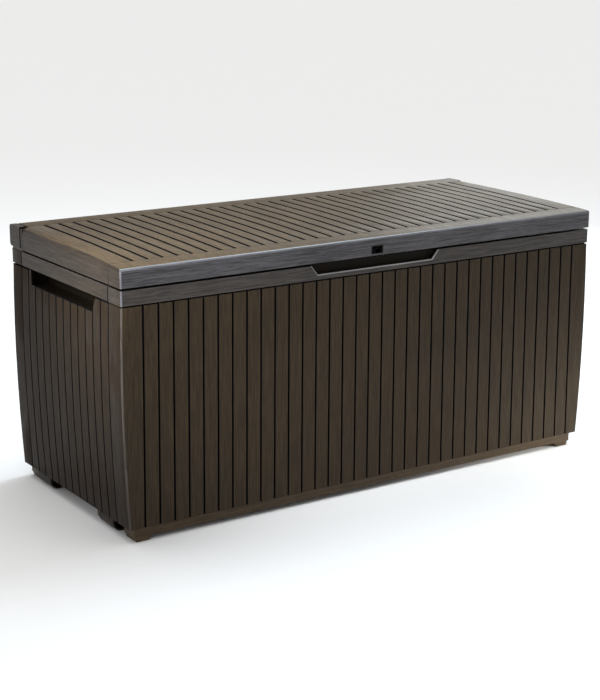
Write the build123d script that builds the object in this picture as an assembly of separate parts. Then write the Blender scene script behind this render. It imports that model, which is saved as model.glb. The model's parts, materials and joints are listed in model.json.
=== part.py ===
from build123d import *
import os

# Resin deck storage box: a five-panel box with a board pattern, a hinged lid and two wheels
# at its left end.  Millimetres.  +X runs along the box to its right end, -Y is the front,
# +Z is up.  The origin is on the ground under the middle of the overall box.

# ---------------------------------------------------------------- driving dimensions
LENGTH = 1230.0            # lid, left to right
FRONT_Y = -265.0           # lid's front face
BACK_Y = 257.0             # lid's back face, flush with the box
EAR_BACK_Y = 265.0         # hinge ears stand out behind the box
LID_TOP = 583.0            # highest point of the lid
LID_BOTTOM = 534.0
BAND_TOP = 529.0           # top of the plain band round the box
BAND_BOTTOM = 498.0
GROOVE_H = 3.5             # dark line between the band and the boards
BOARD_BOTTOM = 32.0
PLINTH_BOTTOM = 10.0

BAND_X = 613.5             # half width of the band
BAND_FRONT = -263.0
BOARD_X_TOP = 613.0        # the end faces bulge out, then draw in to the floor
BOARD_X_MID = 616.0
BOARD_X_BOTTOM = 606.0
BOARD_MID_Z = 300.0
BOARD_FRONT = -262.0
BOARD_BACK = 256.0

SKIN = 6.0                 # panel skin
LINE_DEPTH = 4.5           # board lines
LINE_WIDTH = 3.4
BOARD_PITCH = 34.25        # front and back boards, at their tops
BOARD_PITCH_LOW = 34.6     # and at their feet
BOARD_LINES = 34
SIDE_PITCH = 34.5          # end boards
SIDE_BOARDS = 12
SEAM_Y = 207.0             # front and back panels wrap the corners up to this line
SEAM_WIDTH = 2.4
CORNER_R = 3.5

CAVITY_X = 588.0           # inside of the box
CAVITY_FRONT = -245.0
CAVITY_BACK = 239.0
RIB = 3.0
RIB_LEVELS = (188.0, 343.0)
FRAME_H = 12.0             # ribs that close the wall at its top and foot
REST_X = 450.0             # pads that the closed lid rests on
REST_HALF = 15.0

PLINTH_X = 592.0
PLINTH_FRONT = -253.0
PLINTH_BACK = 247.0
PLINTH_WALL = 4.0
FLOOR_T = 4.0
UNDER_RIB_Z = 14.0         # ribs under the floor start here
UNDER_PITCH_X = 130.0
UNDER_PITCH_Y = 120.0
OPEN_END_X = -556.0        # the plinth is left out from here to the wheeled end
LIP_H = 14.0               # lip of the base inside the wall
LIP_T = 4.0
FOOT_LEFT_X = -573.0
FOOT_RIGHT_X = 570.0
FOOT_HALF = 14.0
FOOT_FLARE = 12.0
FOOT_TOE = 12.0
FOOT_DEPTH = 44.0

AXIS_Y = 232.5             # lid hinge
AXIS_Z = 558.5
PIN_R = 6.0
RUNNING = 0.05             # radial clearance of a turning fit
BARREL_R = BACK_Y - AXIS_Y
BOSS_R = 12.0              # bosses in the lid that turn on the pins
BOSS_X = 572.0
LID_WALL = 4.0
LID_PLATE = 5.0
LID_CORNER_R = 5.0         # upright front corners
LID_FRONT_R = 9.0          # front top edge
LID_END_R = 17.0           # top edges at the two ends
LID_BACK_R = 5.0
LIP_FRONT = -251.0         # inner rib of the lid, behind its front skirt
LIP_BACK = -247.0
LIP_GAP_HALF = 22.0        # gap in that rib for the hasp
CROWN_FRONT_Z = 573.6      # the lid's top is a shallow arc that falls to the front
CROWN_MID_Z = 581.5
CROWN_BACK_Z = 582.6
LID_PITCH = 33.95
LID_LINE_FRONT = -214.0
LID_LINE_BACK = 200.0
LID_LINE_DEPTH = 3.2
CROSS_WIDTH = 1.6          # shallow lines that close the board pattern
CROSS_DEPTH = 0.9
NOTCH_X = 597.0            # lid is cut back here for the ears
NOTCH_Y = 195.0
EAR_INNER_X = 599.0
EAR_FRONT_Y = 214.0
EAR_TOP = 582.0
EAR_R = 8.0
FIN_FRONT_Y = 203.0        # narrow web in front of each ear
FIN_BACK_Y = 210.0
FIN_TOP = 577.0

WHEEL_R = 21.0
WHEEL_X = -580.0
WHEEL_WIDTH = 66.0
WHEEL_FRONTS = {"front": -176.0, "rear": 128.0}
AXLE_R = 5.0
AXLE_HEAD_R = 8.0
CAP_R = 7.0
HUB_R = 9.0
TREAD_WALL = 4.0
TREAD_R = 2.5
WEB_Y0 = 26.0              # web between the two hollows of a wheel
WEB_Y1 = 40.0
BRACKET_W = 20.0
WELL_X0 = -598.5           # room for the wheels in the left end
WELL_X1 = -580.0
WELL_TOP = 48.0

SLOT_FRONT = -150.0        # hand slot in each end, under the band
SLOT_REAR = 160.0
SLOT_BOTTOM = 464.0
SLOT_FRONT_SLANT = 15.0
SLOT_REAR_SLANT = 4.0
SLOT_CUT = 30.0
CUP_FRONT = -157.0
CUP_REAR = 167.0
CUP_BOTTOM = 458.0
CUP_TOP = 502.0
CUP_SKIN_X = 608.5         # mouth of the cup, let into the skin
CUP_DEPTH_X = 566.0
CUP_WALL = 3.0

RECESS_TOP_HALF = 171.0    # finger recess in the front band
RECESS_BOTTOM_HALF = 151.0
RECESS_BOTTOM = 509.0
RECESS_BACK = -251.0

WINDOW_HALF = 15.5         # lock window in the lid's front skirt
WINDOW_BOTTOM = 537.5
WINDOW_TOP = 555.5
WINDOW_FRAME = 1.5
LOCK_Z = 544.5
PADLOCK_R = 4.5

SCREW_LEVELS = (497.0, 519.0)
SCREW_R = 2.0
SCREW_HEAD_R = 4.0
SCREW_HEAD_H = 2.0
SCREW_PAD_HALF = 14.0
SCREW_PAD_TOP = 504.0

MARGIN = 5.0               # cutters run this far past what they cut
FAR = 800.0                # or out to here

os.makedirs("parts", exist_ok=True)


# ---------------------------------------------------------------- helpers
def block(x0, x1, y0, y1, z0, z1):
    """Box given by its low and high planes."""
    return Pos((x0 + x1) / 2, (y0 + y1) / 2, (z0 + z1) / 2) * Box(x1 - x0, y1 - y0, z1 - z0)


def rod_x(radius, x0, x1, y, z):
    """Cylinder along X."""
    return Pos((x0 + x1) / 2, y, z) * Rot(0, 90, 0) * Cylinder(radius, x1 - x0)


def rod_y(radius, y0, y1, x, z):
    """Cylinder along Y."""
    return Pos(x, (y0 + y1) / 2, z) * Rot(90, 0, 0) * Cylinder(radius, y1 - y0)


def prism(points, direction):
    """Straight-sided solid: a closed outline pushed along a vector."""
    face = Face(Wire.make_polygon([Vector(*p) for p in points], close=True))
    return extrude(face, amount=Vector(*direction).length, dir=Vector(*direction).normalized())


def bulged(inset, y0, y1):
    """Board-height prism whose two end faces follow the bulge, drawn in by an inset."""
    top, mid, low = (x - inset for x in (BOARD_X_TOP, BOARD_X_MID, BOARD_X_BOTTOM))
    board_top = BAND_BOTTOM - GROOVE_H
    right = ThreePointArc((low, y0, BOARD_BOTTOM), (mid, y0, BOARD_MID_Z), (top, y0, board_top))
    left = ThreePointArc((-top, y0, board_top), (-mid, y0, BOARD_MID_Z), (-low, y0, BOARD_BOTTOM))
    over = Line((top, y0, board_top), (-top, y0, board_top))
    under = Line((-low, y0, BOARD_BOTTOM), (low, y0, BOARD_BOTTOM))
    face = Face(Wire([right, over, left, under]))
    return extrude(face, amount=y1 - y0, dir=(0, 1, 0))


def round_corners(solid, radius):
    """Round the four upright corners of a body, straight or following the bulge."""
    uprights = [e for e in solid.edges() if e.bounding_box().size.Z > 20.0]
    return fillet(uprights, radius)


def write(name, shape):
    export_step(shape, f"parts/{name}.step")


# ---------------------------------------------------------------- the box wall, before it is split
def wall_ring():
    """Outer wall with its band and boards, hollow inside, with the stiffening ribs."""
    boards = round_corners(bulged(0.0, BOARD_FRONT, BOARD_BACK), CORNER_R)
    band = round_corners(
        block(-BAND_X, BAND_X, BAND_FRONT, BACK_Y, BAND_BOTTOM, BAND_TOP), CORNER_R
    )
    line = block(
        -BOARD_X_TOP + LINE_DEPTH, BOARD_X_TOP - LINE_DEPTH,
        BOARD_FRONT + LINE_DEPTH, BOARD_BACK - LINE_DEPTH,
        BAND_BOTTOM - GROOVE_H, BAND_BOTTOM,
    )
    outer = boards + line + band

    hollow = bulged(SKIN, BOARD_FRONT + SKIN, BOARD_BACK - SKIN)
    hollow += block(
        -BOARD_X_TOP + SKIN, BOARD_X_TOP - SKIN, BOARD_FRONT + SKIN, BOARD_BACK - SKIN,
        BAND_BOTTOM - GROOVE_H, BAND_TOP,
    )
    cavity = block(-CAVITY_X, CAVITY_X, CAVITY_FRONT, CAVITY_BACK, 0, LID_TOP)

    rib_lines = []
    for level in (BOARD_BOTTOM, BAND_TOP - FRAME_H):
        rib_lines.append(block(-FAR, FAR, -FAR, FAR, level, level + FRAME_H))
    for level in RIB_LEVELS:
        rib_lines.append(block(-FAR, FAR, -FAR, FAR, level, level + RIB))
    for k in range(-4, 5):
        x = k * 4 * BOARD_PITCH
        rib_lines.append(block(x - RIB / 2, x + RIB / 2, -FAR, FAR, 0, LID_TOP))
    for k in (-1, 0, 1):
        y = k * 3 * SIDE_PITCH
        rib_lines.append(block(-FAR, FAR, y - RIB / 2, y + RIB / 2, 0, LID_TOP))
    for side in (-1, 1):
        y = side * SEAM_Y
        rib_lines.append(block(-FAR, FAR, y - SKIN, y + SKIN, 0, LID_TOP))
    ribs = (rib_lines[0] + rib_lines[1:]) & (hollow - cavity)
    return (outer - hollow) + ribs


def board_lines(core):
    """Cutters for the upright lines: straight on the long faces, curved on the ends."""
    cutters = []
    top, low = BAND_BOTTOM - 1, BOARD_BOTTOM - MARGIN
    for i in range(BOARD_LINES):
        number = i - (BOARD_LINES - 1) / 2
        x_top, x_low = number * BOARD_PITCH, number * BOARD_PITCH_LOW
        outline = [
            (x_low - LINE_WIDTH / 2, -FAR, low), (x_low + LINE_WIDTH / 2, -FAR, low),
            (x_top + LINE_WIDTH / 2, -FAR, top), (x_top - LINE_WIDTH / 2, -FAR, top),
        ]
        cutters.append(prism(outline, (0, 2 * FAR, 0)))
    for i in range(1, SIDE_BOARDS):
        y = (i - SIDE_BOARDS / 2) * SIDE_PITCH
        cutters.append(block(-FAR, FAR, y - LINE_WIDTH / 2, y + LINE_WIDTH / 2, 0, top))
    for side in (-1, 1):
        y = side * SEAM_Y
        cutters.append(block(-FAR, FAR, y - SEAM_WIDTH / 2, y + SEAM_WIDTH / 2, 0, LID_TOP))
    return [cutter - core for cutter in cutters]


def split_panels():
    """Cut the wall ring into front, back, left and right panels at the four corner seams.

    The front is cut once more, along the top of its boards, into a board panel and a band.
    """
    core = bulged(LINE_DEPTH, BOARD_FRONT + LINE_DEPTH, BOARD_BACK - LINE_DEPTH)
    core += block(
        -BOARD_X_TOP + LINE_DEPTH, BOARD_X_TOP - LINE_DEPTH,
        BOARD_FRONT + LINE_DEPTH, BOARD_BACK - LINE_DEPTH,
        BAND_BOTTOM - GROOVE_H, BAND_TOP,
    )
    ring = wall_ring() - board_lines(core)
    board_top = BAND_BOTTOM - GROOVE_H
    front = ring & block(-FAR, FAR, -FAR, -SEAM_Y, 0, board_top)
    band = ring & block(-FAR, FAR, -FAR, -SEAM_Y, board_top, LID_TOP)
    back = ring & block(-FAR, FAR, SEAM_Y, FAR, 0, LID_TOP)
    left = ring & block(-FAR, 0, -SEAM_Y, SEAM_Y, 0, LID_TOP)
    right = ring & block(0, FAR, -SEAM_Y, SEAM_Y, 0, LID_TOP)
    return front, band, back, left, right


# ---------------------------------------------------------------- panels
def finish_band(band):
    """Finger recess under the lid's edge, seats of the hasp's screws, and pads for the closed lid."""
    recess = prism(
        [
            (-RECESS_BOTTOM_HALF, BAND_FRONT - MARGIN, RECESS_BOTTOM),
            (RECESS_BOTTOM_HALF, BAND_FRONT - MARGIN, RECESS_BOTTOM),
            (RECESS_TOP_HALF, BAND_FRONT - MARGIN, BAND_TOP + MARGIN),
            (-RECESS_TOP_HALF, BAND_FRONT - MARGIN, BAND_TOP + MARGIN),
        ],
        (0, RECESS_BACK - BAND_FRONT + MARGIN, 0),
    )
    pocket_wall = block(
        -RECESS_TOP_HALF - RIB, RECESS_TOP_HALF + RIB, RECESS_BACK, CAVITY_FRONT,
        RECESS_BOTTOM - 2 * RIB, BAND_TOP,
    )
    pocket_floor = block(
        -RECESS_TOP_HALF - RIB, RECESS_TOP_HALF + RIB, BOARD_FRONT + SKIN, CAVITY_FRONT,
        RECESS_BOTTOM - 2 * RIB, RECESS_BOTTOM,
    )
    band = band + pocket_floor + pocket_wall - recess
    band += block(
        -SCREW_PAD_HALF, SCREW_PAD_HALF, BOARD_FRONT + SKIN, CAVITY_FRONT,
        BAND_BOTTOM - GROOVE_H, SCREW_PAD_TOP,
    )
    for z in SCREW_LEVELS:
        band -= rod_y(SCREW_R, CAVITY_FRONT - 3.5, CAVITY_FRONT + 1, 0, z)
    for x in (-REST_X, REST_X):
        band += block(x - REST_HALF, x + REST_HALF, -252, -246, BAND_TOP, LID_BOTTOM - 0.3)
    return band


def finish_side(panel, side):
    """Hand slot with slanted ends, room for its cup, and room for the wheels on the left."""
    front_low, rear_low = SLOT_FRONT + SLOT_FRONT_SLANT, SLOT_REAR - SLOT_REAR_SLANT
    slot_top = BAND_BOTTOM - GROOVE_H
    x0 = side * (BOARD_X_MID + MARGIN)
    outline = [
        (x0, front_low, SLOT_BOTTOM), (x0, rear_low, SLOT_BOTTOM),
        (x0, SLOT_REAR, slot_top), (x0, SLOT_FRONT, slot_top),
    ]
    slot = prism(outline, (-side * SLOT_CUT, 0, 0))
    room_x0, room_x1 = sorted((side * (CUP_DEPTH_X - MARGIN), side * CUP_SKIN_X))
    cup_room = block(room_x0, room_x1, CUP_FRONT, CUP_REAR, CUP_BOTTOM, CUP_TOP)
    panel = panel - slot - cup_room
    if side < 0:
        for front in WHEEL_FRONTS.values():
            back = front + WHEEL_WIDTH + BRACKET_W + 6
            panel -= block(WELL_X0, WELL_X1, front - 4, back, 0, WELL_TOP)
    return panel


def handle_cup(side):
    """Box behind the hand slot that keeps the inside of the store dry."""
    x0, x1 = sorted((side * CUP_SKIN_X, side * CUP_DEPTH_X))
    shell = block(x0, x1, CUP_FRONT, CUP_REAR, CUP_BOTTOM, CUP_TOP)
    x0, x1 = sorted((side * (CUP_SKIN_X + MARGIN), side * (CUP_DEPTH_X + CUP_WALL)))
    room = block(
        x0, x1, CUP_FRONT + CUP_WALL, CUP_REAR - CUP_WALL, CUP_BOTTOM + CUP_WALL, CUP_TOP - CUP_WALL
    )
    return shell - room


# ---------------------------------------------------------------- base
def foot(x, y, side):
    """Moulded corner foot: a block with slanted flanks that fades into the plinth."""
    low, top = FOOT_TOE, BOARD_BOTTOM - FLOOR_T
    steep, shallow = FOOT_HALF + FOOT_FLARE / 3, FOOT_HALF + FOOT_FLARE
    outline = [
        (-FOOT_HALF, 0), (FOOT_HALF, 0), (steep, low), (steep, top), (-shallow, top), (-shallow, low),
    ]
    mirror = 1 if side > 0 else -1
    return prism([(x + mirror * px, y, pz) for px, pz in outline], (0, FOOT_DEPTH, 0))


def base_panel():
    """Floor, plinth, underside ribs, feet, and the wells and brackets of the wheels."""
    rim = block(-PLINTH_X, PLINTH_X, PLINTH_FRONT, PLINTH_BACK, PLINTH_BOTTOM, BOARD_BOTTOM)
    under = block(
        -PLINTH_X + PLINTH_WALL, PLINTH_X - PLINTH_WALL, PLINTH_FRONT + PLINTH_WALL,
        PLINTH_BACK - PLINTH_WALL, 0, BOARD_BOTTOM - FLOOR_T,
    )
    base = rim - under
    for k in range(-4, 5):
        x = k * UNDER_PITCH_X
        base += block(
            x - RIB / 2, x + RIB / 2, PLINTH_FRONT, PLINTH_BACK, UNDER_RIB_Z, BOARD_BOTTOM - 1
        )
    for k in (-1, 0, 1):
        y = (PLINTH_FRONT + PLINTH_BACK) / 2 + k * UNDER_PITCH_Y
        base += block(
            -PLINTH_X, PLINTH_X, y - RIB / 2, y + RIB / 2, UNDER_RIB_Z, BOARD_BOTTOM - 1
        )
    lip_outer = block(
        -CAVITY_X + 0.1, CAVITY_X - 0.1, CAVITY_FRONT + 0.1, CAVITY_BACK - 0.1,
        BOARD_BOTTOM - 1, BOARD_BOTTOM + LIP_H,
    )
    lip_inner = block(
        -CAVITY_X + LIP_T, CAVITY_X - LIP_T, CAVITY_FRONT + LIP_T, CAVITY_BACK - LIP_T,
        BOARD_BOTTOM - 2, BOARD_BOTTOM + LIP_H + 1,
    )
    base += lip_outer - lip_inner
    base -= block(
        -PLINTH_X - MARGIN, OPEN_END_X, PLINTH_FRONT + FOOT_DEPTH, PLINTH_BACK - FOOT_DEPTH,
        0, BOARD_BOTTOM - FLOOR_T,
    )
    for side, x in ((-1, FOOT_LEFT_X), (1, FOOT_RIGHT_X)):
        base += foot(x, PLINTH_FRONT, side)
        base += foot(x, PLINTH_BACK - FOOT_DEPTH, side)
    for front in WHEEL_FRONTS.values():
        back = front + WHEEL_WIDTH + BRACKET_W + 3
        base += block(-588, -553, front - 6, back + 3, BOARD_BOTTOM - 1, WELL_TOP)
        base -= block(-610, -556, front - 3, back, -1, 45)
        base += block(-592, -568, back - BRACKET_W - 1, back, 8, BOARD_BOTTOM)
        base += block(-588, -556, back - BRACKET_W - 1, back, BOARD_BOTTOM - 4, 45.5)
        base -= rod_y(AXLE_R, back - BRACKET_W - 3, back + 1, WHEEL_X, WHEEL_R)
        base -= rod_y(HUB_R, back, back + 6, WHEEL_X, WHEEL_R)
    return base


# ---------------------------------------------------------------- wheels
def wheel(front):
    """Wide roller, hollowed from both ends round a hub tube, with softened tread edges."""
    tread = rod_y(WHEEL_R, front, front + WHEEL_WIDTH, WHEEL_X, WHEEL_R)
    tread = fillet(tread.edges().filter_by(GeomType.CIRCLE), TREAD_R)
    for y0, y1 in ((front - 1, front + WEB_Y0), (front + WEB_Y1, front + WHEEL_WIDTH + 1)):
        hollow = rod_y(WHEEL_R - TREAD_WALL, y0, y1, WHEEL_X, WHEEL_R)
        tread -= hollow - rod_y(HUB_R, y0, y1, WHEEL_X, WHEEL_R)
    return tread - rod_y(AXLE_R + RUNNING, front - 5, front + WHEEL_WIDTH + 5, WHEEL_X, WHEEL_R)


def axle(front):
    """Push-in axle with a flat head outside the wheel."""
    end = front + WHEEL_WIDTH + BRACKET_W + 6
    shank = rod_y(AXLE_R, front - 1, end, WHEEL_X, WHEEL_R)
    return shank + rod_y(AXLE_HEAD_R, front - 2.8, front - 0.4, WHEEL_X, WHEEL_R)


def axle_cap(front):
    """Push-on ring that keeps the axle in its bracket."""
    seat = front + WHEEL_WIDTH + BRACKET_W + 3
    ring = rod_y(CAP_R, seat, seat + 2, WHEEL_X, WHEEL_R)
    return ring - rod_y(AXLE_R, seat - 1, seat + 3, WHEEL_X, WHEEL_R)


# ---------------------------------------------------------------- lid
def lid_body(wall, drop, low):
    """Lid block with its crowned top and rounded edges, drawn in by a wall and lowered by a drop."""
    f, b = FRONT_Y + wall, BACK_Y - wall
    r = LID_FRONT_R - wall
    k = r * (1 - 2 ** -0.5)
    top_front, top_mid, top_back = CROWN_FRONT_Z - drop, CROWN_MID_Z - drop, CROWN_BACK_Z - drop
    edges = [
        Line((0, f, low), (0, f, top_front - r)),
        ThreePointArc((0, f, top_front - r), (0, f + k, top_front - k), (0, f + r, top_front)),
        ThreePointArc((0, f + r, top_front), (0, 0, top_mid), (0, b, top_back)),
        Line((0, b, top_back), (0, b, low)),
        Line((0, b, low), (0, f, low)),
    ]
    side_view = extrude(Face(Wire(edges)), amount=LENGTH, dir=(1, 0, 0), both=True)

    half, top = LENGTH / 2 - wall, LID_TOP + 0.2 - drop
    front_view = block(-half, half, -FAR, FAR, low, top)
    end_edges = front_view.edges().filter_by(Axis.Y).group_by(Axis.Z)[-1]
    front_view = fillet(end_edges, LID_END_R - wall)

    plan = block(-half, half, f, FAR, 0, FAR)
    uprights = plan.edges().filter_by(Axis.Z).filter_by(lambda e: e.center().Y < 0)
    plan = fillet(uprights, max(LID_CORNER_R - wall, 1.0))
    return side_view & front_view & plan


def lid_shell():
    """Board-patterned lid with a turned-down skirt and a round-backed hinge edge."""
    half = LENGTH / 2
    outer = lid_body(0.0, 0.0, LID_BOTTOM)
    back_edge = outer.edges().filter_by(Axis.X).filter_by(
        lambda e: e.center().Y > BACK_Y - 1 and e.center().Z > AXIS_Z
    )
    outer = fillet(back_edge, LID_BACK_R)
    under_back = block(-half - 1, half + 1, AXIS_Y, BACK_Y + 1, LID_BOTTOM - 1, AXIS_Z)
    lid = outer - (under_back - rod_x(BARREL_R, -half - 2, half + 2, AXIS_Y, AXIS_Z))

    inner = half - LID_WALL
    inside = lid_body(LID_WALL, LID_PLATE, LID_BOTTOM - 10)
    room = inside & block(-inner, inner, FRONT_Y, AXIS_Y, LID_BOTTOM - 10, LID_TOP)
    room += inside & block(-inner, inner, AXIS_Y - 1, BACK_Y - LID_WALL, AXIS_Z, LID_TOP)
    room += rod_x(BARREL_R - LID_WALL, -inner, inner, AXIS_Y, AXIS_Z)
    for side in (-1, 1):
        x0, x1 = sorted((side * (NOTCH_X - RIB), side * FAR))
        room -= block(x0, x1, NOTCH_Y - RIB, FAR, 0, FAR)
    lid -= room
    for side in (-1, 1):
        x0, x1 = sorted((side * NOTCH_X, side * FAR))
        lid -= block(x0, x1, NOTCH_Y, FAR, 0, FAR)
        x0, x1 = sorted((side * BOSS_X, side * (NOTCH_X - RIB)))
        lid += rod_x(BOSS_R, x0, x1, AXIS_Y, AXIS_Z)
        x0, x1 = sorted((side * (BOSS_X - 1), side * (NOTCH_X + 1)))
        lid -= rod_x(PIN_R + RUNNING, x0, x1, AXIS_Y, AXIS_Z)

    lip = block(-inner, inner, LIP_FRONT, LIP_BACK, LID_BOTTOM, CROWN_FRONT_Z - LID_PLATE + 1.5)
    lip -= block(-LIP_GAP_HALF, LIP_GAP_HALF, LIP_FRONT - 1, LIP_BACK + 1, LID_BOTTOM - 1, LID_TOP)
    lid += lip

    board_floor = lid_body(0.0, LID_LINE_DEPTH, LID_BOTTOM - 1)
    for i in range(BOARD_LINES):
        x = (i - (BOARD_LINES - 1) / 2) * LID_PITCH
        lid -= block(
            x - LINE_WIDTH / 2, x + LINE_WIDTH / 2, LID_LINE_FRONT, LID_LINE_BACK,
            LID_BOTTOM, LID_TOP + 1,
        ) - board_floor
    cross_floor = lid_body(CROSS_DEPTH, CROSS_DEPTH, LID_BOTTOM - 1)
    for y in (LID_LINE_FRONT, LID_LINE_BACK):
        lid -= block(
            -half - 1, half + 1, y - CROSS_WIDTH / 2, y + CROSS_WIDTH / 2,
            LID_BOTTOM - 1, LID_TOP + 1,
        ) - cross_floor
    window = block(
        -WINDOW_HALF, WINDOW_HALF, FRONT_Y - 1, FRONT_Y + LID_WALL + 1, WINDOW_BOTTOM, WINDOW_TOP
    )
    return lid - window


def lid_liner():
    """Flat inner tray under the lid with upright stiffening ribs that end at the lid's plate."""
    low, plate = 541.0, 3.0
    front, back, half = -238.0, 205.0, 588.0
    ribs = []
    for k in range(-4, 5):
        x = k * 140.0
        ribs.append(block(x - RIB / 2, x + RIB / 2, front, back, low, LID_TOP))
    for y in (front + RIB / 2, -120.0, 0.0, 120.0, back - RIB / 2):
        ribs.append(block(-half, half, y - RIB / 2, y + RIB / 2, low, LID_TOP))
    under_plate = lid_body(LID_WALL, LID_PLATE, LID_BOTTOM)
    return block(-half, half, front, back, low, low + plate) + (ribs[0] + ribs[1:]) & under_plate


def lock_window():
    """Insert round the window in the lid's skirt, with two guide legs for the hasp."""
    behind = FRONT_Y + LID_WALL
    hole, flange, leg = 12.5, 20.0, 18.5
    frame = block(-WINDOW_HALF, WINDOW_HALF, FRONT_Y + 0.4, behind, WINDOW_BOTTOM, WINDOW_TOP)
    frame += block(-flange, flange, behind, behind + 3, LID_BOTTOM + 1, WINDOW_TOP + 4)
    for side in (-1, 1):
        x0, x1 = sorted((side * hole, side * leg))
        frame += block(x0, x1, behind, LIP_FRONT - 1, LID_BOTTOM - 4, LID_BOTTOM + 8)
    frame -= block(
        -hole, hole, FRONT_Y - 1, LIP_FRONT + 1, WINDOW_BOTTOM + WINDOW_FRAME, WINDOW_TOP - WINDOW_FRAME
    )
    return frame


def lock_hasp():
    """Upright tab behind the finger recess that takes the padlock's shackle."""
    tab = block(-11, 11, CAVITY_FRONT, CAVITY_FRONT + 4, 490, 553)
    tab = fillet(tab.edges().filter_by(Axis.Y).filter_by(lambda e: e.center().Z > 540), 6)
    tab -= rod_y(PADLOCK_R, CAVITY_FRONT - 5, CAVITY_FRONT + 10, 0, LOCK_Z)
    for z in SCREW_LEVELS:
        tab -= rod_y(SCREW_R, CAVITY_FRONT - 5, CAVITY_FRONT + 10, 0, z)
    return tab


def hinge_ear(side):
    """Upright ear on the back corner that carries the lid's pin, with a web in front of it."""
    x0, x1 = sorted((side * EAR_INNER_X, side * BAND_X))
    ear = block(x0, x1, EAR_FRONT_Y, EAR_BACK_Y, LID_BOTTOM, EAR_TOP)
    ear = fillet(ear.edges().filter_by(Axis.X).filter_by(lambda e: e.center().Y > AXIS_Y), EAR_R)
    ear += block(x0 + 1, x1 - 1, FIN_FRONT_Y, BACK_Y - 4, BAND_TOP, LID_BOTTOM + 1)
    ear += block(x0 + 1, x1 - 1, FIN_FRONT_Y, FIN_BACK_Y, BAND_TOP, FIN_TOP)
    ear -= rod_x(PIN_R, x0 - 5, x1 + 5, AXIS_Y, AXIS_Z)
    return ear


def hinge_pin(side):
    """Stub pin, pressed through the ear and turning in the lid's boss."""
    x0, x1 = sorted((side * (BOSS_X + 2), side * BAND_X))
    return rod_x(PIN_R, x0, x1, AXIS_Y, AXIS_Z)


def screw_y(x, z, y_face, length, direction):
    """Pan-head screw along Y: head against a face, shank into it."""
    y_head = sorted((y_face, y_face - direction * SCREW_HEAD_H))
    y_shank = sorted((y_face, y_face + direction * length))
    return rod_y(SCREW_HEAD_R, *y_head, x, z) + rod_y(SCREW_R, *y_shank, x, z)


def hasp_screws():
    """Two screws through the hasp; their blind holes are in the recess wall and floor."""
    return Compound(children=[screw_y(0, z, CAVITY_FRONT + 4, 7.5, -1) for z in SCREW_LEVELS])


# ---------------------------------------------------------------- build
front, band, back, left, right = split_panels()
write("front_panel", front)
write("front_band", finish_band(band))
write("back_panel", back)
write("left_side_panel", finish_side(left, -1))
write("right_side_panel", finish_side(right, 1))
write("base_panel", base_panel())
for side, name in ((-1, "left"), (1, "right")):
    write(f"handle_cup_{name}", handle_cup(side))
    write(f"hinge_ear_{name}", hinge_ear(side))
    write(f"hinge_pin_{name}", hinge_pin(side))
for name, y in WHEEL_FRONTS.items():
    write(f"wheel_{name}", wheel(y))
    write(f"axle_{name}", axle(y))
write("axle_caps", Compound(children=[axle_cap(y) for y in WHEEL_FRONTS.values()]))
write("lid_shell", lid_shell())
write("lid_liner", lid_liner())
write("lock_window", lock_window())
write("lock_hasp", lock_hasp())
write("hasp_screws", hasp_screws())
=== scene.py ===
import json
import math

import bmesh
import bpy
from mathutils import Matrix, Vector


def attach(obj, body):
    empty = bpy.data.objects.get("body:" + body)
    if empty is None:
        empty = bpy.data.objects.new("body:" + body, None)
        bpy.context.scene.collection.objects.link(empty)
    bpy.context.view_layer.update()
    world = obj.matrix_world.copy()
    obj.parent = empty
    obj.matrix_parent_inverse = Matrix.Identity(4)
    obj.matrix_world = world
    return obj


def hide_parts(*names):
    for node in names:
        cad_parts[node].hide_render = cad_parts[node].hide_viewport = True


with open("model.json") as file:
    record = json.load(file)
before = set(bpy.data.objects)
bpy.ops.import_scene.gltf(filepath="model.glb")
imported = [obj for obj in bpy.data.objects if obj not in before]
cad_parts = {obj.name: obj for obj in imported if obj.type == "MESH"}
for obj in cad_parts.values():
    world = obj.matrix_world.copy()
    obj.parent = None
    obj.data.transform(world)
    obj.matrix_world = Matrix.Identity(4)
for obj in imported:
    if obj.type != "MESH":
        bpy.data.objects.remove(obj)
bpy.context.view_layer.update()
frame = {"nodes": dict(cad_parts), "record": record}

# ---------------------------------------------------------------- camera, seen from the front left
AZIMUTH = math.radians(-33.46)
ELEVATION = math.radians(14.87)
ROLL = math.radians(0.17)
AIM = Vector((-0.0212, 0.0019, 0.2678))
DISTANCE = 3.7016
LENS = 82.39

# ---------------------------------------------------------------- pieces that get softened edges
EDGE_ROUND = {
    "front_panel": 0.0009,
    "front_band": 0.0014,
    "back_panel": 0.0009,
    "left_side_panel": 0.0009,
    "right_side_panel": 0.0009,
    "lid_shell": 0.0006,
    "base_panel": 0.0010,
    "hinge_ear_left": 0.0012,
    "hinge_ear_right": 0.0012,
    "lid_liner": 0.0008,
    "lock_hasp": 0.0005,
}


# ---------------------------------------------------------------- material helpers
def new_material(name, ior=1.32):
    material = bpy.data.materials.new(name)
    material.use_nodes = True
    tree = material.node_tree
    tree.nodes.clear()
    output = tree.nodes.new("ShaderNodeOutputMaterial")
    shader = tree.nodes.new("ShaderNodeBsdfPrincipled")
    shader.inputs["IOR"].default_value = ior
    tree.links.new(shader.outputs["BSDF"], output.inputs["Surface"])
    return material, tree, shader


def add(tree, kind, **settings):
    """New node; a setting is an attribute of the node or, if it has none, a named input."""
    node = tree.nodes.new(kind)
    for key, value in settings.items():
        if hasattr(node, key):
            setattr(node, key, value)
        else:
            node.inputs[key.replace("_", " ")].default_value = value
    return node


def stretched(tree, scale):
    """Object coordinates scaled per axis, in features per metre."""
    coord = add(tree, "ShaderNodeTexCoord")
    mapping = add(tree, "ShaderNodeMapping")
    mapping.inputs["Scale"].default_value = scale
    tree.links.new(coord.outputs["Object"], mapping.inputs["Vector"])
    return mapping.outputs["Vector"]


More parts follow.
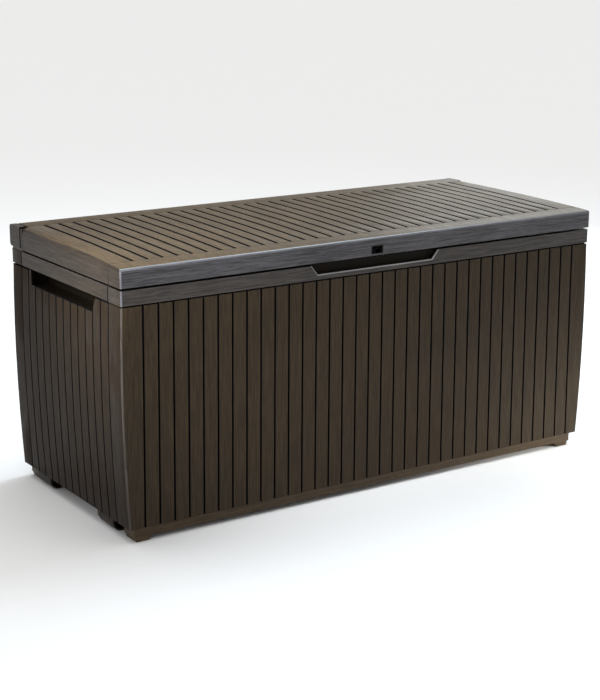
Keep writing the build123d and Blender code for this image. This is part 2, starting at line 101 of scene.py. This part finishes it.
def noise(tree, scale, detail=4.0, rough=0.55, distortion=0.0):
    node = add(tree, "ShaderNodeTexNoise", Scale=1.0, Detail=detail, Roughness=rough, Distortion=distortion)
    tree.links.new(stretched(tree, scale), node.inputs["Vector"])
    return node.outputs["Fac"]


def blend(tree, *weighted):
    """Weighted sum of factors."""
    total = None
    for factor, weight in weighted:
        node = add(tree, "ShaderNodeMath", operation="MULTIPLY_ADD")
        tree.links.new(factor, node.inputs[0])
        node.inputs[1].default_value = weight
        node.inputs[2].default_value = 0.0
        if total is not None:
            tree.links.new(total, node.inputs[2])
        total = node.outputs[0]
    return total


def ramp(tree, factor, stops):
    node = add(tree, "ShaderNodeValToRGB")
    elements = node.color_ramp.elements
    while len(elements) < len(stops):
        elements.new(0.5)
    for element, (place, colour) in zip(elements, stops):
        element.position = place
        element.color = (*colour, 1.0)
    tree.links.new(factor, node.inputs["Fac"])
    return node.outputs["Color"]


def spread(tree, factor, low, high):
    node = add(tree, "ShaderNodeMapRange", From_Min=0.25, From_Max=0.75, To_Min=low, To_Max=high)
    tree.links.new(factor, node.inputs["Value"])
    return node.outputs["Result"]


def shade(colour, amount):
    return tuple(c * amount for c in colour)


def along_axis(axis, fine, coarse):
    """Scale vector that is coarse along the grain's axis and fine across it."""
    return tuple(coarse if k == axis else fine for k in range(3))


def wood_resin(
    name, colour, axis, roughness=0.5, relief=0.0003, contrast=0.25, ior=1.32, grain=(260.0, 11.0)
):
    """Moulded resin with a wood grain that runs along one axis (0 = X, 1 = Y, 2 = Z)."""
    material, tree, shader = new_material(name, ior)
    fine, coarse = grain
    streaks = noise(tree, along_axis(axis, fine, coarse), 3.0, 0.6, 0.4)
    pores = noise(tree, along_axis(axis, fine * 2.2, coarse * 3.0), 2.0, 0.6)
    clouds = noise(tree, (5.0, 5.0, 5.0), 3.0)
    tone = blend(tree, (streaks, 0.55), (pores, 0.35), (clouds, 0.10))
    colours = ramp(
        tree, tone,
        [(0.42, shade(colour, 1.0 - contrast)), (0.5, colour), (0.58, shade(colour, 1.0 + contrast))],
    )
    tree.links.new(colours, shader.inputs["Base Color"])
    tree.links.new(spread(tree, tone, roughness + 0.10, roughness - 0.10), shader.inputs["Roughness"])
    bump = add(tree, "ShaderNodeBump", Strength=1.0, Distance=relief)
    tree.links.new(blend(tree, (streaks, 0.8), (pores, 0.3)), bump.inputs["Height"])
    tree.links.new(bump.outputs["Normal"], shader.inputs["Normal"])
    return material


def plain_resin(name, colour, roughness=0.5, ior=1.32, pit_depth=0.0001):
    """Moulded resin with a fine spark-eroded texture."""
    material, tree, shader = new_material(name, ior)
    pits = noise(tree, (900.0, 900.0, 900.0), 2.0)
    clouds = noise(tree, (25.0, 25.0, 25.0), 3.0)
    tones = ramp(tree, clouds, [(0.3, shade(colour, 0.8)), (0.7, shade(colour, 1.2))])
    tree.links.new(tones, shader.inputs["Base Color"])
    tree.links.new(spread(tree, clouds, roughness - 0.06, roughness + 0.08), shader.inputs["Roughness"])
    bump = add(tree, "ShaderNodeBump", Strength=0.6, Distance=pit_depth)
    tree.links.new(pits, bump.inputs["Height"])
    tree.links.new(bump.outputs["Normal"], shader.inputs["Normal"])
    return material


def zinc(name):
    """Zinc plating with fine scratches along the screw's axis."""
    material, tree, shader = new_material(name, 1.5)
    shader.inputs["Metallic"].default_value = 1.0
    scratches = noise(tree, (400.0, 400.0, 60.0), 3.0)
    tones = ramp(tree, scratches, [(0.3, ZINC_DULL), (0.7, ZINC_CLEAN)])
    tree.links.new(tones, shader.inputs["Base Color"])
    tree.links.new(spread(tree, scratches, 0.3, 0.5), shader.inputs["Roughness"])
    return material


BROWN = (0.031, 0.0198, 0.0096)
# painted shade: the end boards are a darker copy of the board brown, for the shade on the box's ends
END_BOARD_SHADED_BROWN = (0.0165, 0.0095, 0.0045)
# band and lid skirt: the resin's brown, turned greyer and cooler as a painted reflection of bluish light
# from above
BAND_BROWN_COOL_SHEEN = (0.031, 0.025, 0.021)
SKIRT_BROWN_COOL_SHEEN = (0.040, 0.037, 0.041)
# painted shade: a darker brown for the end band, the lid's end skirt and the hinge ears, for the shade on
# the box's ends
END_SHADED_BROWN = (0.021, 0.0135, 0.0078)
LID_BROWN = (0.074, 0.049, 0.025)
# painted sheen: a lighter, greyer copy of the board brown for the rounded upright corners
CORNER_SHEEN = (0.055, 0.044, 0.036)
# painted highlight: a light grey standing in for the glint on rounded edges, the lid's front edge and its
# corners
EDGE_HIGHLIGHT = (0.088, 0.084, 0.092)
# painted highlight: a bright grey for the front band's rounded edges and the lip of its finger recess
BAND_EDGE_HIGHLIGHT = (0.20, 0.195, 0.20)
BLACK = (0.0035, 0.0035, 0.004)
ZINC_DULL = (0.42, 0.42, 0.43)
ZINC_CLEAN = (0.62, 0.62, 0.60)
board_resin = wood_resin("board_resin", BROWN, 2, 0.50, 0.0005, 0.28, 1.25)
end_board_shaded_resin = wood_resin("end_board_shaded_resin", END_BOARD_SHADED_BROWN, 2, 0.58, 0.0005, 0.28, 1.20)
band_resin = wood_resin("band_resin", BAND_BROWN_COOL_SHEEN, 0, 0.44, 0.0010, 0.48, 1.42)
# painted light: the plinth is a copy of the board brown made 1.9 times lighter, for how light falls on it
plinth_lit_resin = wood_resin("plinth_lit_resin", shade(BROWN, 1.9), 0, 0.48, 0.0005, 0.25, 1.32)
corner_sheen_resin = wood_resin("corner_sheen_resin", CORNER_SHEEN, 2, 0.42, 0.0003, 0.25, 1.36)
end_band_shaded_resin = wood_resin("end_band_shaded_resin", END_SHADED_BROWN, 1, 0.46, 0.0005, 0.32, 1.32)
lid_resin = wood_resin("lid_resin", LID_BROWN, 1, 0.45, 0.0003, 0.25, 1.25)
skirt_resin = wood_resin("skirt_resin", SKIRT_BROWN_COOL_SHEEN, 0, 0.38, 0.0016, 0.60, 1.48, (300.0, 13.0))
end_skirt_shaded_resin = wood_resin("end_skirt_shaded_resin", END_SHADED_BROWN, 1, 0.44, 0.0005, 0.32, 1.34)
inner_resin = plain_resin("inner_resin", BROWN)
# painted shade: a darker copy of the board brown for the finger recess, the handle cups and the band's
# upward faces
recess_painted_shade = plain_resin("recess_painted_shade", shade(BROWN, 0.22), 0.55, 1.18)
painted_edge_highlight = plain_resin("painted_edge_highlight", EDGE_HIGHLIGHT, 0.34, 1.5)
painted_band_edge_highlight = plain_resin("painted_band_edge_highlight", BAND_EDGE_HIGHLIGHT, 0.34, 1.5)
# painted shade: near-black in the board lines and on their shoulders, where the resin is the same brown and
# only shade falls
groove_painted_shade = plain_resin("groove_painted_shade", BLACK, 0.8, 1.1)
black_resin = plain_resin("black_resin", BLACK, 0.6, 1.2)
# painted shade: the wheels are a darker copy of the board brown, for the shade under the box
wheel_resin = plain_resin("wheel_resin", shade(BROWN, 0.55), 0.55, pit_depth=0.0003)
zinc_metal = zinc("zinc_metal")


# ---------------------------------------------------------------- which face gets which material
LINE_TOP = 0.498              # the band starts here, above the dark line round the box
BOARD_TOP = 0.4945
BOARD_FACES = (-0.262, 0.256)
BAND_FACES = (-0.263, 0.257, 0.6135)
END_ARC = ((0.032, 0.606), (0.300, 0.616), (0.4945, 0.613))
CROWN_ARC = ((-0.256, 0.5736), (0.0, 0.5815), (0.257, 0.5826))
GROOVE = (0.0007, 0.0052)     # depth range of a line's walls and floor
CORNER_TILT = 0.08            # a face that leans this far both ways is a rounded upright corner
RECESS_HALF = 0.172           # finger recess: half width, foot, front and back
RECESS_FOOT = 0.508
RECESS_FACES = (-0.2628, -0.2505)
LID_LINES_HALF = 0.59         # field of the lid's board lines
LID_LINES_Y = (-0.2145, 0.2005)
LID_LINES_FOOT = 0.565
LID_LINE_DEPTH = 0.0012       # the lid's board lines are deeper than this


def through(points, t):
    """Value at t of the parabola through three points."""
    total = 0.0
    for i, (ti, vi) in enumerate(points):
        term = vi
        for k, (tk, _) in enumerate(points):
            if k != i:
                term *= (t - tk) / (ti - tk)
        total += term
    return total


def wall_material(normal, centre):
    """Line, rounded corner, board, front or back band, end band; the lines and the band's upward faces are
    painted shade, the corners a painted sheen below the band and a painted highlight on it, the front and
    back band a brown with a painted cool sheen, the end boards and end band darker shaded copies.
    """
    if centre.z > LINE_TOP:
        front, back, end = BAND_FACES
    else:
        front, back = BOARD_FACES
        end = through(END_ARC, centre.z)
    depth = min(centre.y - front, back - centre.y, end - abs(centre.x))
    leaning = min(abs(normal.x), abs(normal.y)) > CORNER_TILT and abs(normal.z) < 0.5
    # rounded upright corners: painted sheen below the band, painted highlight on the band
    if leaning and depth < GROOVE[1]:
        return corner_sheen_resin if centre.z < LINE_TOP else painted_edge_highlight
    # walls and floors of the lines and the gap under the band: painted shade
    if BOARD_TOP < centre.z < LINE_TOP or GROOVE[0] < depth < GROOVE[1]:
        return groove_painted_shade
    if centre.z < LINE_TOP:
        # boards facing the ends take the painted shade
        return end_board_shaded_resin if abs(normal.x) > 0.7 else board_resin
    # upward faces of the band: painted shade
    if normal.z > 0.7:
        return recess_painted_shade
    # front and back band: brown with a painted cool sheen; end band: painted shade
    return band_resin if abs(normal.y) > abs(normal.x) else end_band_shaded_resin


def band_material(normal, centre):
    """As the wall, with painted shade in the finger recess."""
    front, back = RECESS_FACES
    if abs(centre.x) < RECESS_HALF and centre.z > RECESS_FOOT and front < centre.y < back:
        return recess_painted_shade
    return wall_material(normal, centre)


def lid_material(normal, centre):
    """Line, rounded front edge or corner, top, front or back skirt, end skirt; the lines are painted shade,
    the rounded front edge and corners a painted highlight, the front and back skirt a brown with a painted
    cool sheen, the end skirt a darker shaded copy.
    """
    front, back = LID_LINES_Y
    among_lines = abs(centre.x) < LID_LINES_HALF and front < centre.y < back
    if among_lines and centre.z > LID_LINES_FOOT:
        depth = through(CROWN_ARC, centre.y) - centre.z
        # walls and floors of the lid's board lines: painted shade
        if abs(normal.x) > 0.9 or normal.z > 0.7 and depth > LID_LINE_DEPTH:
            return groove_painted_shade
    # the lid's rounded front edge and front corners: painted highlight
    if normal.y < -0.35 and max(normal.z, abs(normal.x)) > 0.35:
        return painted_edge_highlight
    if normal.z > 0.7:
        return lid_resin
    # front and back skirt: brown with a painted cool sheen; end skirt: painted shade
    return skirt_resin if abs(normal.y) > abs(normal.x) else end_skirt_shaded_resin


# ---------------------------------------------------------------- softened copies of the CAD nodes
SHARP = math.radians(35)
FLAT = math.radians(0.4)      # facets that turn less than this are merged
MERGE = 0.00002
LONG_EDGE = 0.02              # shorter edges are the ends of a dark line
SHOULDER = 0.0006             # worn-down shoulders of the dark lines, coloured with the painted shade
LID_SHOULDER = 0.0020
LIP_ROUND = 0.0024            # rounded lip of the finger recess, in the painted highlight colour
LIP_HALF = 0.1705             # the lip lies within this half width,
LIP_FACE = -0.2625            # in front of this plane
LIP_FOOT_TOP = 0.515          # and reaches below this level


def on_lip(edge):
    """True for the edges round the mouth of the finger recess."""
    ends = [vert.co for vert in edge.verts]
    at_mouth = all(
        abs(end.x) < LIP_HALF and end.y < LIP_FACE and end.z > RECESS_FOOT for end in ends
    )
    return at_mouth and min(end.z for end in ends) < LIP_FOOT_TOP


def softened(node, width, chooser, edge_material):
    """Copy of a CAD node with whole flat faces and rounded edges; the dark lines of painted shade stay
    crisp.
    """
    work = bmesh.new()
    work.from_mesh(frame["nodes"][node].data)
    bmesh.ops.remove_doubles(work, verts=work.verts, dist=MERGE)
    bmesh.ops.dissolve_limit(work, angle_limit=FLAT, verts=work.verts, edges=work.edges)
    work.normal_update()
    palette = []
    for face in work.faces:
        material = chooser(face.normal, face.calc_center_median())
        if material not in palette:
            palette.append(material)
        face.material_index = palette.index(material)
        face.smooth = True
    weight = work.edges.layers.float.new("bevel_weight_edge")
    dark = palette.index(groove_painted_shade) if groove_painted_shade in palette else -1
    shoulders = []
    for edge in work.edges:
        if len(edge.link_faces) == 2 and edge.calc_face_angle() > SHARP:
            lines = sum(face.material_index == dark for face in edge.link_faces)
            span = edge.verts[0].co - edge.verts[1].co
            shoulder = lines == 1 and max(abs(span.y), abs(span.z)) > LONG_EDGE
            edge[weight] = 0.0 if lines == 2 or shoulder else 1.0
            if shoulder and edge.calc_face_angle_signed() > 0:
                shoulders.append(edge)
    # the shoulder chamfers take the painted shade, widening the dark lines
    if shoulders:
        bmesh.ops.bevel(
            work, geom=shoulders, offset=LID_SHOULDER if node == "lid_shell" else SHOULDER,
            segments=1, profile=0.5, affect="EDGES", clamp_overlap=False, material=dark,
        )
    # the last slot holds the painted highlight colour that the bevel faces take
    palette.append(edge_material)
    # the lip's rounding takes the painted highlight colour
    lip = [edge for edge in work.edges if node == "front_band" and on_lip(edge)]
    if lip:
        for edge in lip:
            edge[weight] = 0.0
        bmesh.ops.bevel(
            work, geom=lip, offset=LIP_ROUND, segments=3, profile=0.5,
            affect="EDGES", clamp_overlap=False, material=len(palette) - 1,
        )
    mesh = bpy.data.meshes.new(node + "_mesh")
    work.to_mesh(mesh)
    work.free()
    piece = bpy.data.objects.new(node + "_visual", mesh)
    bpy.context.scene.collection.objects.link(piece)
    for material in palette:
        mesh.materials.append(material)
    mesh.set_sharp_from_angle(angle=SHARP)
    bevel = piece.modifiers.new("edges", "BEVEL")
    bevel.width = width
    bevel.segments = 2
    bevel.limit_method = "WEIGHT"
    bevel.use_clamp_overlap = True
    bevel.harden_normals = True
    bevel.material = len(palette) - 1
    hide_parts(node)
    return piece


BODY_OF = {
    node: body for body, nodes in frame["record"]["behaviour"]["bodies"].items() for node in nodes
}

CHOOSER = {
    "front_panel": wall_material,
    "front_band": band_material,
    "back_panel": wall_material,
    "left_side_panel": wall_material,
    "right_side_panel": wall_material,
    "lid_shell": lid_material,
}
PLAIN = {
    # plinth: painted light
    "base_panel": plinth_lit_resin,
    # hinge ears: painted shade of the ends
    "hinge_ear_left": end_skirt_shaded_resin,
    "hinge_ear_right": end_skirt_shaded_resin,
    "lid_liner": inner_resin,
    # handle cups: painted shade in the slots
    "handle_cup_left": recess_painted_shade,
    "handle_cup_right": recess_painted_shade,
    "lock_window": black_resin,
    "lock_hasp": black_resin,
    # wheels: painted shade under the box
    "wheel_front": wheel_resin,
    "wheel_rear": wheel_resin,
    "axle_front": black_resin,
    "axle_rear": black_resin,
    "axle_caps": black_resin,
    "hinge_pin_left": inner_resin,
    "hinge_pin_right": inner_resin,
    "hasp_screws": zinc_metal,
}

for node, width in EDGE_ROUND.items():
    chooser = CHOOSER.get(node) or (lambda normal, centre, material=PLAIN.get(node): material)
    # bevel faces take a painted highlight colour, a brighter one on the front band
    piece = softened(node, width, chooser, painted_band_edge_highlight if node == "front_band" else painted_edge_highlight)
    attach(piece, BODY_OF[node])

for node, material in PLAIN.items():
    if node not in EDGE_ROUND:
        for slot in frame["nodes"][node].material_slots:
            slot.material = material


# ---------------------------------------------------------------- studio
WORLD = ((1.0, 1.0, 1.0), 0.58)
SKY_STRENGTH = 1.0
SKY_ANGLE = math.radians(60)
FLOOR_SIZE = 120.0
FLOOR_COLOUR = (0.95, 0.945, 0.94)
LIGHTS = (
    # name, place, target, size, colour, watts, spread in degrees
    ("softbox_back", (2.4, 1.7, 1.25), (0.3, 0.0, 0.5), 1.4, (0.90, 0.98, 1.0), 11.0, 180.0),
    ("softbox_top", (1.2, 0.4, 2.6), (0.0, 0.0, 0.5), 1.4, (0.75, 0.90, 1.0), 50.0, 180.0),
    ("softbox_left", (-2.3, -0.6, 1.5), (-0.615, -0.19, 0.54), 0.4, (0.90, 0.96, 1.0), 1.9, 17.0),
    ("softbox_low", (1.7, -1.8, 0.6), (0.56, -0.26, 0.02), 0.3, (1.0, 0.98, 0.92), 0.5, 18.0),
)


def studio():
    bpy.ops.mesh.primitive_plane_add(size=FLOOR_SIZE)
    floor = bpy.context.object
    floor.name = "studio_floor"
    material, tree, shader = new_material("studio_floor")
    shader.inputs["Base Color"].default_value = (*FLOOR_COLOUR, 1.0)
    shader.inputs["Roughness"].default_value = 0.9
    floor.data.materials.append(material)

    world = bpy.data.worlds.new("studio")
    bpy.context.scene.world = world
    world.use_nodes = True
    background = world.node_tree.nodes["Background"]
    world_colour, world_strength = WORLD
    background.inputs["Color"].default_value = (*world_colour, 1.0)
    background.inputs["Strength"].default_value = world_strength

    for name, place, target, size, colour, watts, spread_degrees in LIGHTS:
        light = bpy.data.lights.new(name, "AREA")
        light.size = size
        light.energy = watts
        light.color = colour
        light.spread = math.radians(spread_degrees)
        lamp = bpy.data.objects.new(name, light)
        lamp.location = place
        lamp.rotation_euler = (Vector(target) - Vector(place)).to_track_quat("-Z", "Y").to_euler()
        bpy.context.scene.collection.objects.link(lamp)
    sky = bpy.data.lights.new("sky_panel", "SUN")
    sky.energy = SKY_STRENGTH
    sky.angle = SKY_ANGLE
    bpy.context.scene.collection.objects.link(bpy.data.objects.new("sky_panel", sky))
    bpy.context.scene.view_settings.view_transform = "Standard"


def camera():
    back = Vector((
        math.sin(AZIMUTH) * math.cos(ELEVATION),
        -math.cos(AZIMUTH) * math.cos(ELEVATION),
        math.sin(ELEVATION),
    ))
    right = Vector((0, 0, 1)).cross(back).normalized()
    up = back.cross(right)
    rolled_right = right * math.cos(ROLL) + up * math.sin(ROLL)
    rolled_up = up * math.cos(ROLL) - right * math.sin(ROLL)
    data = bpy.data.cameras.new("view")
    data.lens = LENS
    data.sensor_width = 36.0
    eye = bpy.data.objects.new("view", data)
    turn = Matrix((rolled_right, rolled_up, back)).transposed().to_4x4()
    eye.matrix_world = Matrix.Translation(AIM + back * DISTANCE) @ turn
    bpy.context.scene.collection.objects.link(eye)
    bpy.context.scene.camera = eye


studio()
camera()
